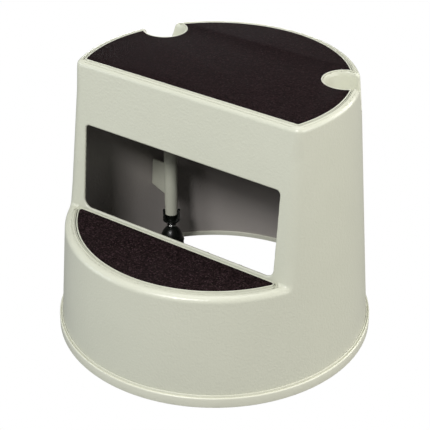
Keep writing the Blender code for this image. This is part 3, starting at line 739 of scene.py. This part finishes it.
def hood_field(x, y, z):
    """Two fenders on a middle web, under a dome that rises to the swivel neck."""
    axle = np.hypot(x - TRAIL, z - WHEEL_RADIUS)
    fender = round_max(axle - HOOD_RADIUS, np.abs(y) - HOOD_HALF_WIDTH, 3.5 * MM)
    rise = (z - DOME_FOOT) / (HOOD_TOP - DOME_FOOT) * 0.93
    along = (x - DOME_CENTRE) / DOME_HALF_LENGTH
    dome = (np.sqrt(along**2 + (y / HOOD_HALF_WIDTH) ** 2 + rise**2) - 1) * 15 * MM
    dome = round_max(dome, np.maximum(z - HOOD_TOP, 30 * MM - z), 0.6 * MM)
    neck = np.maximum(z - HOOD_TOP, 45 * MM - z)
    neck = round_max(np.hypot(x, y) - NECK_RADIUS, neck, 0.6 * MM)
    body = round_min(fender, np.minimum(dome, neck), 3 * MM)
    body = round_max(body, HOOD_FOOT - z, 0.8 * MM)
    bay = np.maximum(axle - HOOD_RADIUS + HOOD_SKIN, HOOD_WEB_HALF - np.abs(y))
    body = cut(body, bay, 0.6 * MM)
    hub = np.maximum(axle - HUB_RADIUS, np.abs(y) - HOOD_WEB_HALF + 0.2 * MM)
    body = round_min(body, hub, 0.8 * MM)
    bore = np.maximum(np.hypot(x, y) - STEM_RADIUS - BORE_CLEARANCE, STEM_HOLE_FOOT - z)
    body = cut(body, bore, 0.4 * MM)
    return cut(body, axle - AXLE_RADIUS - BORE_CLEARANCE, 0.2 * MM)


def wheel_field(x, y, z):
    """A wheel about Z, its inner face at the web: a rounded tread and a ribbed, dished face."""
    near, far = HOOD_WEB_HALF + GAP, HOOD_WEB_HALF + GAP + WHEEL_WIDTH
    line_radius, line_half, line_depth = 17.2 * MM, 0.35 * MM, 0.5 * MM
    dish_radius, dish_half, dish_depth, rib_half = 9.9 * MM, 4.3 * MM, 2 * MM, 1.0 * MM
    radius = np.hypot(x, y)
    body = round_max(radius - WHEEL_RADIUS, span(z, near, far), 1.7 * MM)
    line = np.abs(radius - line_radius) - line_half
    body = cut(body, round_max(line, far - line_depth - z, 0.1 * MM), 0.2 * MM)
    floor = far - dish_depth - z
    dish = np.maximum(np.abs(radius - dish_radius) - dish_half, floor)
    for turn in np.arange(3) * pi / 3:
        _, v = turned_to(x, y, turn)
        dish = np.maximum(dish, rib_half - np.abs(v))
    body = cut(body, round_max(dish, floor, 0.3 * MM), 0.5 * MM)
    return cut(body, radius - AXLE_RADIUS - BORE_CLEARANCE, 0.3 * MM)


def screw_field(under, end):
    """A pan-head screw that points up, with a cross recess and a shallow thread."""
    head_radius, head_height, dome_radius = 4 * MM, 2.6 * MM, 5.6 * MM
    shank_radius, thread_height, pitch = 2 * MM, 0.12 * MM, 0.9 * MM
    arm_half, arm_reach, recess_end = 0.5 * MM, 2.1 * MM, 1.1 * MM

    def field(x, y, z):
        radius = np.hypot(x, y)
        head = np.maximum(radius - head_radius, span(z, under - head_height, under))
        dome = np.sqrt(radius**2 + (z - under - 3 * MM) ** 2) - dome_radius
        head = round_max(head, dome, 0.5 * MM)
        thread = thread_height * np.cos(z / pitch * 2 * pi)
        shank = np.maximum(radius - shank_radius + thread, span(z, under - MM, end))
        body = np.minimum(head, shank)
        cross = np.minimum(
            np.maximum(np.abs(x) - arm_half, np.abs(y) - arm_reach),
            np.maximum(np.abs(y) - arm_half, np.abs(x) - arm_reach),
        )
        return cut(body, np.maximum(cross, z - under + recess_end), 0.15 * MM)

    return field


def spring_mesh(low, high):
    """A compression spring with ground end coils."""
    wire, mean, turns, per_turn, sides = 0.8 * MM, 5.4 * MM, 7.5, 32, 10
    count = int(turns * per_turn)
    rings = []
    for i in range(count + 1):
        share = i / count
        eased = min(max((share * turns - 0.9) / (turns - 1.8), 0), 1)
        rise = low + wire + (high - low - 2 * wire) * eased
        angle = 2 * pi * turns * share
        out = np.array((cos(angle), sin(angle), 0.0))
        size = wire * (0.75 if i in (0, count) else 1)
        ring = []
        for k in range(sides):
            c = 2 * pi * k / sides
            ring.append(out * (mean + size * cos(c)) + np.array((0, 0, rise + size * sin(c))))
        rings.append(ring)
    points, faces = lofted(rings)
    caps = [(0, k + 1, k) for k in range(1, sides - 1)]
    last = count * sides
    caps += [(last, last + k, last + k + 1) for k in range(1, sides - 1)]
    return points, np.array(faces + caps)[:, ::-1], None


def lathe(corners, segments=48, steps=3):
    return turned(rounded_profile(corners, steps), segments, closed=True)


def pin_mesh(radius, low, high, ease, segments):
    """A plain pin about Z with eased ends. Its hollow middle is too fine to see."""
    tiny = 0.02 * MM
    corners = [(tiny, low, 0), (radius, low, ease), (radius, high, ease), (tiny, high, 0)]
    return lathe(corners, segments)


def stem_mesh():
    low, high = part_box("front_stem")[0].z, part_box("front_stem")[1].z
    return pin_mesh(STEM_RADIUS, low, high, 0.7 * MM, 36)


def washer_mesh():
    """A small thrust bearing: two races with a shadow gap between them."""
    low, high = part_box("front_bearing_washer")[0].z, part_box("front_bearing_washer")[1].z
    bore, out, middle = STEM_RADIUS + BORE_CLEARANCE, 7.0 * MM, (low + high) / 2
    depth, half = 0.9 * MM, 0.25 * MM
    corners = [
        (bore, low, 0.2 * MM),
        (out, low, 0.7 * MM),
        (out, middle - half, 0.2 * MM),
        (out - depth, middle - half, 0.1 * MM),
        (out - depth, middle + half, 0.1 * MM),
        (out, middle + half, 0.2 * MM),
        (out, high, 0.7 * MM),
        (bore, high, 0.2 * MM),
    ]
    return lathe(corners)


def axle_mesh():
    return across(pin_mesh(AXLE_RADIUS, -AXLE_HALF, AXLE_HALF, 0.6 * MM, 30))


def hood_piece():
    low = (TRAIL - HOOD_RADIUS - 3 * MM, -HOOD_HALF_WIDTH - MM, 15 * MM)
    high = (TRAIL + HOOD_RADIUS + 2 * MM, HOOD_HALF_WIDTH + MM, HOOD_TOP + MM)
    return polygonised(hood_field, low, high, *MESHING["hood"])


def wheel_pieces():
    """The two wheels of a caster, one the mirror of the other."""
    reach = WHEEL_RADIUS + MM
    low = (-reach, -reach, HOOD_WEB_HALF - MM)
    high = (reach, reach, HOOD_WEB_HALF + WHEEL_WIDTH + 2 * MM)
    points, faces, normals = polygonised(wheel_field, low, high, *MESHING["wheel"])
    mirror = np.array((1.0, 1.0, -1.0))
    mirrored = (points * mirror, faces[:, ::-1], normals * mirror)
    return across((points, faces, normals)), across(mirrored)


def carrier_piece():
    reach = CARRIER_RADIUS + MM
    low, high = (-reach, -reach, CARRIER_LOW), (reach, reach, POST_TOP + 1.5 * MM)
    return polygonised(carrier_field, low, high, *MESHING["carrier"])


def tower_piece(name):
    top, foot = tower_top(name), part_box(f"{name}_tower")[0].z
    wide = FLANGE_HALF_WIDTH + SCREW_SPACING + 2 * MM
    near = FLANGE_HALF_WIDTH + 2 * MM
    out, kind = (near, "front_tower") if name == "front" else (60 * MM, "rear_tower")
    low, high = (-near, -wide, foot - MM), (out, wide, top + MM)
    return polygonised(tower_field(name), low, high, *MESHING[kind])


def screw_piece(name):
    under = tower_top(name) - FLANGE - GAP
    end = tower_top(name) + GAP + 10.5 * MM
    wide = 4.6 * MM
    low, high = (-wide, -wide, under - 3.4 * MM), (wide, wide, end + 0.6 * MM)
    return polygonised(screw_field(under, end), low, high, *MESHING["screw"])


def spring_piece():
    low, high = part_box("front_spring")
    return spring_mesh(low.z, high.z)


def caster_shapes():
    """Every shape that the casters are put together from, made once."""
    wheel_a, wheel_b = wheel_pieces()
    return {
        "front_tower": tower_piece("front"),
        "rear_tower": tower_piece("rear_left"),
        "front_screw": screw_piece("front"),
        "rear_screw": screw_piece("rear_left"),
        "spring": spring_piece(),
        "carrier": carrier_piece(),
        "stem": stem_mesh(),
        "washer": washer_mesh(),
        "hood": hood_piece(),
        "axle": axle_mesh(),
        "wheel_a": wheel_a,
        "wheel_b": wheel_b,
    }


def build_caster(name, shapes, finishes):
    """One caster. Each row says piece, shape, body, CAD node, slot, and turn and place."""
    angle, centre = CASTERS[name], caster_place(name)
    fixed, free = (angle, centre), (SWIVEL_REST, centre)
    kind = name.split("_")[0]
    plunger, swivel = f"{name}_plunger", f"{name}_swivel"
    pieces = [("housing", f"{kind}_tower", "drum", "tower", "shell", fixed)]
    for tag, side in (("a", -1), ("b", 1)):
        x = centre[0] - side * SCREW_SPACING * sin(angle)
        y = centre[1] + side * SCREW_SPACING * cos(angle)
        node, place = f"tower_screw_{tag}", (angle + side, (x, y))
        pieces.append((f"screw_{tag}", f"{kind}_screw", "drum", node, "zinc", place))
    pieces += [
        ("coil", "spring", "drum", "spring", "zinc", fixed),
        ("cup", "carrier", plunger, "carrier", "black", fixed),
        ("pin", "stem", plunger, "stem", "steel", fixed),
        ("bearing", "washer", plunger, "bearing_washer", "steel", fixed),
        ("fender", "hood", swivel, "hood", "black", free),
        ("wheel_pin", "axle", swivel, "axle", "steel", free),
        ("roller_a", "wheel_a", f"{name}_wheel_a", "wheel_a", "wheel", free),
        ("roller_b", "wheel_b", f"{name}_wheel_b", "wheel_b", "wheel", free),
    ]
    made = {}
    for piece, shape, body, node, slot, (turn, place) in pieces:
        called, stands_for, finish = f"{name}_{piece}", f"{name}_{node}", finishes[slot]
        made[piece] = add_piece(called, shapes[shape], body, stands_for, finish, turn, place)
    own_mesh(made["coil"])


def build_casters(finishes):
    shapes = caster_shapes()
    for name in CASTERS:
        build_caster(name, shapes, finishes)


# Materials


class Paint:
    """A Principled material and the few nodes that these finishes are made of."""

    def __init__(self, name, **settings):
        self.material = bpy.data.materials.new(name)
        self.material.use_nodes = True
        self.tree = self.material.node_tree
        self.shader = self.tree.nodes["Principled BSDF"]
        for socket, value in settings.items():
            self.shader.inputs[socket.replace("_", " ")].default_value = value
        self.place = self.tree.nodes.new("ShaderNodeTexCoord").outputs["Object"]

    def node(self, kind, inputs, **settings):
        made = self.tree.nodes.new(kind)
        for key, value in settings.items():
            setattr(made, key, value)
        for key, value in inputs.items():
            if isinstance(value, bpy.types.NodeSocket):
                self.tree.links.new(value, made.inputs[key])
            else:
                made.inputs[key].default_value = value
        return made

    def noise(self, scale, detail=2.0, roughness=0.5, stretch=None):
        place = self.place
        if stretch:
            place = self.node("ShaderNodeMapping", {"Vector": place, "Scale": stretch}).outputs[0]
        inputs = {"Vector": place, "Scale": scale, "Detail": detail, "Roughness": roughness}
        return self.node("ShaderNodeTexNoise", inputs).outputs["Fac"]

    def cells(self, scale, feature="F1", output="Distance"):
        inputs = {"Vector": self.place, "Scale": scale}
        return self.node("ShaderNodeTexVoronoi", inputs, feature=feature).outputs[output]

    def height(self):
        return self.node("ShaderNodeSeparateXYZ", {"Vector": self.place}).outputs["Z"]

    def fit(self, value, low, high, to_low=0.0, to_high=1.0):
        inputs = {"Value": value, "From Min": low, "From Max": high}
        inputs.update({"To Min": to_low, "To Max": to_high})
        return self.node("ShaderNodeMapRange", inputs).outputs["Result"]

    def cloud(self, scale, detail, roughness=0.5, to_low=0.0, to_high=1.0):
        """A noise whose usual range is spread from to_low to to_high."""
        return self.fit(self.noise(scale, detail, roughness), 0.3, 0.7, to_low, to_high)

    def maths(self, operation, a, b):
        return self.node("ShaderNodeMath", {0: a, 1: b}, operation=operation).outputs[0]

    def mix(self, share, a, b, blend="MIX"):
        made = self.tree.nodes.new("ShaderNodeMix")
        made.data_type = "RGBA"
        made.blend_type = blend
        for index, value in ((0, share), (6, a), (7, b)):
            if isinstance(value, bpy.types.NodeSocket):
                self.tree.links.new(value, made.inputs[index])
            else:
                made.inputs[index].default_value = value if index == 0 else (*value, 1.0)
        return made.outputs[2]

    def colour(self, value):
        self.tree.links.new(value, self.shader.inputs["Base Color"])

    def rough(self, value):
        self.tree.links.new(value, self.shader.inputs["Roughness"])

    def bumps(self, *layers):
        """Each layer is (height, depth in metres)."""
        normal = None
        for value, depth in layers:
            inputs = {"Height": value, "Distance": depth, "Strength": 1.0}
            if normal:
                inputs["Normal"] = normal
            normal = self.node("ShaderNodeBump", inputs).outputs[0]
        self.tree.links.new(normal, self.shader.inputs["Normal"])


def shaded(colour, share):
    return tuple(c * share for c in colour)


def shell_finish(name, dark, light):
    """Satin plastic: finely stippled, a little uneven, with faint scuffs near the floor."""
    paint = Paint(name, IOR=1.49, Specular_IOR_Level=0.5)
    colour = paint.mix(paint.cloud(7.0, 3.0), dark, light)
    grain = paint.cloud(900.0, 2.0, 0.6, 0.0, 0.35)
    colour = paint.mix(grain, colour, shaded(dark, 0.9))
    scuff = paint.noise(55.0, 4.0, 0.7, (1.0, 1.0, 3.5))
    low = paint.fit(paint.height(), 20 * MM, 110 * MM, 0.22, 0.0)
    dirt = paint.maths("MULTIPLY", paint.fit(scuff, 0.60, 0.80), low)
    colour = paint.mix(dirt, colour, (0.30, 0.29, 0.23))
    paint.colour(colour)
    rough = paint.cloud(38.0, 3.0, 0.6, 0.28, 0.31)
    paint.rough(paint.maths("ADD", rough, paint.maths("MULTIPLY", dirt, 0.2)))
    paint.bumps(
        (paint.noise(11.0, 1.0), 0.9 * MM),
        (paint.noise(330.0, 1.0), 0.33 * MM),
        (paint.cells(620.0, "SMOOTH_F1"), 0.06 * MM),
    )
    return paint.material


def ring_finish():
    """The bumper's vinyl: a touch paler and smoother than the shell, and rubbed near the floor."""
    paint = Paint("base_ring_vinyl", IOR=1.5, Specular_IOR_Level=0.5)
    colour = paint.mix(paint.cloud(12.0, 3.0), (0.645, 0.647, 0.537), (0.685, 0.685, 0.574))
    rub = paint.fit(paint.noise(80.0, 5.0, 0.7, (1.0, 1.0, 4.0)), 0.55, 0.78)
    low = paint.fit(paint.height(), 7 * MM, 14 * MM, 0.55, 0.05)
    dirt = paint.maths("MULTIPLY", rub, low)
    paint.colour(paint.mix(dirt, colour, (0.26, 0.25, 0.20)))
    rough = paint.cloud(60.0, 3.0, 0.5, 0.28, 0.33)
    paint.rough(paint.maths("ADD", rough, paint.maths("MULTIPLY", dirt, 0.3)))
    paint.bumps((paint.noise(25.0, 1.0), 0.5 * MM), (paint.noise(1500.0), 0.03 * MM))
    return paint.material


def grit_finish(name, spread):
    """Mineral grit on a dark sheet: crumbs of near black, brown-violet and a few paler grains."""
    paint = Paint(name, IOR=1.45, Specular_IOR_Level=0.03)
    crumbs = paint.cells(640.0, "F1", "Color")
    shade = paint.node("ShaderNodeSeparateColor", {"Color": crumbs}).outputs
    base = paint.mix(paint.fit(shade[0], 0, 1), (0.0030, 0.0018, 0.0018), (0.019, 0.0115, 0.012))
    violet = paint.fit(shade[1], 0.78, 0.95, 0.0, spread)
    base = paint.mix(violet, base, (0.042, 0.024, 0.028))
    pale = paint.fit(shade[2], 0.95, 0.99, 0.0, 0.5 * spread)
    base = paint.mix(pale, base, (0.075, 0.058, 0.052))
    worn = paint.fit(paint.noise(9.0, 4.0, 0.6), 0.45, 0.75, 0.0, 0.5)
    paint.colour(paint.mix(worn, base, (0.0135, 0.0095, 0.0098)))
    paint.rough(paint.fit(shade[0], 0, 1, 0.72, 0.98))
    paint.bumps((paint.cells(640.0), -0.35 * MM), (paint.noise(240.0, 3.0, 0.7), 0.25 * MM))
    return paint.material


def black_finish(name, colour, rough, scuffs):
    """Black nylon with a few pale scratches along the moulding."""
    paint = Paint(name, IOR=1.5, Specular_IOR_Level=0.3)
    base = paint.mix(paint.cloud(160.0, 3.0), colour, shaded(colour, 1.6))
    scratch = paint.fit(paint.noise(420.0, 4.0, 0.7, (1.0, 5.0, 1.0)), 0.58, 0.75, 0.0, scuffs)
    paint.colour(paint.mix(scratch, base, (0.10, 0.098, 0.09)))
    paint.rough(paint.cloud(300.0, 3.0, 0.5, rough, rough + 0.16))
    paint.bumps((paint.noise(1500.0, 2.0), 0.04 * MM), (paint.noise(120.0), 0.15 * MM))
    return paint.material


def metal_finish(name, colour, rough, grain):
    """Bare or plated steel with turning marks. grain is how much finer they run along Z."""
    paint = Paint(name, Metallic=1.0)
    paint.colour(paint.mix(paint.cloud(140.0, 4.0, 0.6), colour, shaded(colour, 0.8)))
    turned_marks = paint.noise(260.0, 2.0, 0.5, (1.0, 1.0, grain))
    paint.rough(paint.fit(turned_marks, 0.3, 0.7, rough, rough + 0.18))
    paint.bumps((turned_marks, 0.02 * MM))
    return paint.material


def make_finishes():
    outside = (0.578, 0.585, 0.482), (0.605, 0.611, 0.507)
    # The inner faces' colours: a darker, browner copy of the shell plastic, painted shade for the dim
    # interior.
    inside = (0.360, 0.331, 0.310), (0.412, 0.382, 0.358)
    return {
        "shell": shell_finish("shell_plastic", *outside),
        "inside": shell_finish("shell_plastic_painted_shade", *inside),
        "ring": ring_finish(),
        "top_grit": grit_finish("grit_mat", 0.35),
        "step_grit": grit_finish("grit_mat_step", 0.8),
        "black": black_finish("black_nylon", (0.004, 0.005, 0.004), 0.24, 0.04),
        "wheel": black_finish("wheel_nylon", (0.018, 0.018, 0.018), 0.45, 0.45),
        "steel": metal_finish("bright_steel", (0.74, 0.74, 0.72), 0.16, 9.0),
        "zinc": metal_finish("zinc_plate", (0.60, 0.60, 0.57), 0.28, 2.0),
    }


# Stage


STOOL_MIDDLE = Vector((0.0, 0.0, 0.18))
NEUTRAL, WARM, COOL = (1.0, 1.0, 1.0), (1.0, 0.985, 0.95), (0.86, 0.94, 1.0)

# Name, place, width and depth, watts and colour of each soft lamp
LAMPS = (
    ("key", (0.475, -1.904, 1.886), (0.35, 0.35), 34, NEUTRAL),
    ("front_fill", (-0.07, -2.05, 1.78), (0.45, 0.45), 15, NEUTRAL),
    ("overhead", (0.1, 0.1, 2.4), (1.6, 1.6), 24, NEUTRAL),
    ("right_fill", (2.3, 0.4, 0.8), (1.4, 1.2), 23, WARM),
    ("back_fill", (1.3, 1.9, 0.9), (1.2, 1.2), 27, WARM),
    ("left_fill", (-1.9, -1.5, 0.62), (1.2, 1.0), 13, COOL),
    ("rear_fill", (-1.6, 2.0, 0.4), (1.2, 0.8), 20, NEUTRAL),
)


def build_lamps():
    """Every lamp faces the middle of the stool."""
    for name, place, size, power, colour in LAMPS:
        data = bpy.data.lights.new(name, "AREA")
        data.shape = "RECTANGLE"
        data.size, data.size_y = size
        data.energy = power
        data.color = colour
        obj = bpy.data.objects.new(name, data)
        obj.location = place
        obj.rotation_euler = (STOOL_MIDDLE - Vector(place)).to_track_quat("-Z", "Y").to_euler()
        bpy.context.scene.collection.objects.link(obj)


def build_world():
    """White where it is seen, and a softer light on the stool."""
    world = bpy.data.worlds.new("studio")
    bpy.context.scene.world = world
    world.use_nodes = True
    nodes, links = world.node_tree.nodes, world.node_tree.links
    shader = nodes["Background"]
    shader.inputs["Color"].default_value = (1.0, 1.0, 1.0, 1.0)
    strength = nodes.new("ShaderNodeMapRange")
    strength.inputs["To Min"].default_value = 0.15
    seen = nodes.new("ShaderNodeLightPath").outputs["Is Camera Ray"]
    links.new(seen, strength.inputs["Value"])
    links.new(strength.outputs["Result"], shader.inputs["Strength"])


def build_floor():
    """A sheet that throws light back up, and looks as white as the backdrop."""
    mesh = bpy.data.meshes.new("floor")
    half = 6.0
    sides = ((-half, -half, 0), (half, -half, 0), (half, half, 0), (-half, half, 0))
    mesh.from_pydata(sides, [], [(0, 1, 2, 3)])
    floor = bpy.data.objects.new("studio_floor", mesh)
    bpy.context.scene.collection.objects.link(floor)
    pale = bpy.data.materials.new("pale_floor")
    pale.use_nodes = True
    nodes, links = pale.node_tree.nodes, pale.node_tree.links
    nodes.clear()
    output = nodes.new("ShaderNodeOutputMaterial")
    choice = nodes.new("ShaderNodeMixShader")
    sheet = nodes.new("ShaderNodeBsdfDiffuse")
    seen = nodes.new("ShaderNodeLightPath").outputs["Is Camera Ray"]
    sheet.inputs["Color"].default_value = (0.25, 0.25, 0.25, 1.0)
    links.new(seen, choice.inputs[0])
    links.new(sheet.outputs[0], choice.inputs[1])
    links.new(nodes.new("ShaderNodeEmission").outputs[0], choice.inputs[2])
    links.new(choice.outputs[0], output.inputs["Surface"])
    mesh.materials.append(pale)


# The camera stands to the right of the front and above, with a long lens.
CAMERA_AZIMUTH = radians(35.96)
CAMERA_ELEVATION = radians(30.24)
CAMERA_DISTANCE = 1.6674
CAMERA_AIM = Vector((0.0, 0.0, 162 * MM))
CAMERA_LENS = 107.71
CAMERA_SHIFT = (0.00104, -0.00818)


def build_camera():
    flat = cos(CAMERA_ELEVATION)
    across_x, across_y = sin(CAMERA_AZIMUTH) * flat, -cos(CAMERA_AZIMUTH) * flat
    back = Vector((across_x, across_y, sin(CAMERA_ELEVATION)))
    data = bpy.data.cameras.new("camera")
    data.sensor_width = 36.0
    data.lens = CAMERA_LENS
    data.shift_x, data.shift_y = CAMERA_SHIFT
    camera = bpy.data.objects.new("camera", data)
    camera.location = CAMERA_AIM + back * CAMERA_DISTANCE
    camera.rotation_euler = (-back).to_track_quat("-Z", "Y").to_euler()
    bpy.context.scene.collection.objects.link(camera)
    bpy.context.scene.camera = camera


def corners(box):
    return [list(box[0]), list(box[1])]


bpy.context.scene.view_settings.view_transform = "Standard"
build_camera()
build_world()
build_floor()
build_lamps()
finishes = make_finishes()
build_drum(finishes["shell"], finishes["inside"])
build_base_ring(finishes["ring"])
build_mats(finishes)
build_casters(finishes)
